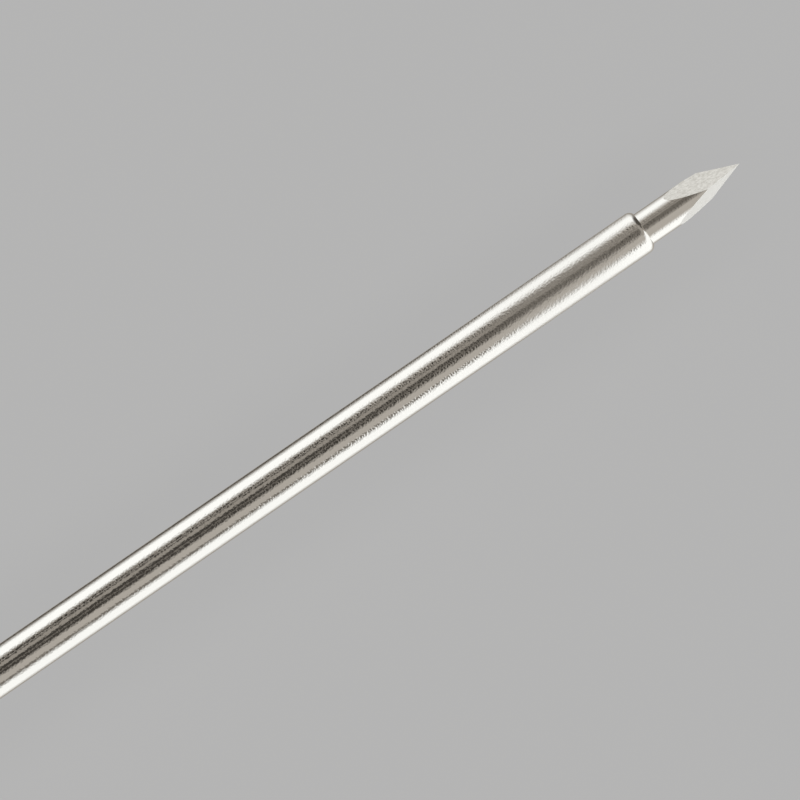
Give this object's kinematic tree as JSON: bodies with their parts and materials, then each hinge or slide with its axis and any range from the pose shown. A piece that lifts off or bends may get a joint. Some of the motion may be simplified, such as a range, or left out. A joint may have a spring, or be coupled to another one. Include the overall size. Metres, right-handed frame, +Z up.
{
  "type": "laparoscopic trocar",
  "caption": "Mini-laparoscopy trocar: slim polished steel cannula with gas stopcock, screwed-on valve head, seal cap and a sharp three-sided obturator with a palm grip.",
  "frame": {"origin": "on the cannula's axis, in the plane where the tube leaves the hub's nose", "axes": "+X along the cannula towards the obturator's point, +Y towards the gas port of the stopcock, +Z up with the part lying on its fluted flange and grip"},
  "size_m": [0.1959, 0.0444, 0.0192],
  "materials": {
    "cannula_steel": "drawn stainless tube, mirror polished with fine lengthwise grain",
    "shaft_steel": "polished stainless bar, its facets ground matt",
    "hub_steel": "satin turned stainless steel",
    "handle_steel": "satin turned stainless steel, glass-bead blasted",
    "stopcock_steel": "bright nickel-chrome plated brass",
    "fastener_steel": "turned stainless steel, bright",
    "seal_silicone": "moulded silicone, matt slate blue",
    "valve_silicone": "moulded silicone, milky",
    "ring_rubber": "black rubber"
  },
  "bodies": {
    "cannula": {"cannula_tube": "cannula_steel", "cannula_hub": "hub_steel", "hub_seal_ring": "ring_rubber", "stopcock_body": "stopcock_steel", "stopcock_stop_pin": "fastener_steel", "gas_port": "stopcock_steel"},
    "stopcock_key": {"stopcock_plug": "stopcock_steel", "stopcock_lever": "stopcock_steel", "lever_screw": "fastener_steel", "plug_spring_washer": "fastener_steel", "plug_nut": "fastener_steel"},
    "valve_head": {"union_tailpiece": "hub_steel", "valve_housing": "hub_steel", "leaflet_valve": "valve_silicone", "valve_washer": "fastener_steel", "valve_clamp_ring": "hub_steel"},
    "union_nut": {"union_nut": "hub_steel"},
    "seal_cap": {"seal_cap": "seal_silicone"},
    "obturator": {"obturator_shaft": "shaft_steel", "handle_ferrule": "handle_steel", "handle_grip": "handle_steel", "handle_cross_pin": "fastener_steel", "handle_end_cap": "fastener_steel"}
  },
  "joints": [
    {"name": "head_lift", "type": "slide", "parent": "cannula", "child": "valve_head", "axis": [-1, 0, 0], "range_m": [0, 0.0055]},
    {"name": "union_turn", "type": "hinge", "parent": "valve_head", "child": "union_nut", "pos_m": [-0.0342, 0, 0], "axis": [-1, 0, 0], "range_deg": [0, 1320.01]},
    {"name": "cap_pull", "type": "slide", "parent": "valve_head", "child": "seal_cap", "axis": [-1, 0, 0], "range_m": [0, 0.012]},
    {"name": "obturator_pull", "type": "slide", "parent": "seal_cap", "child": "obturator", "axis": [-1, 0, 0], "range_m": [0, 0.175]},
    {"name": "stopcock_turn", "type": "hinge", "parent": "cannula", "child": "stopcock_key", "pos_m": [-0.017, 0.0165, 0], "axis": [0, 0, 1], "range_deg": [0, 90]}
  ],
  "couplings": [
    {"joint": "union_turn", "follows": "head_lift", "rad_per_m": 4188.8}
  ]
}
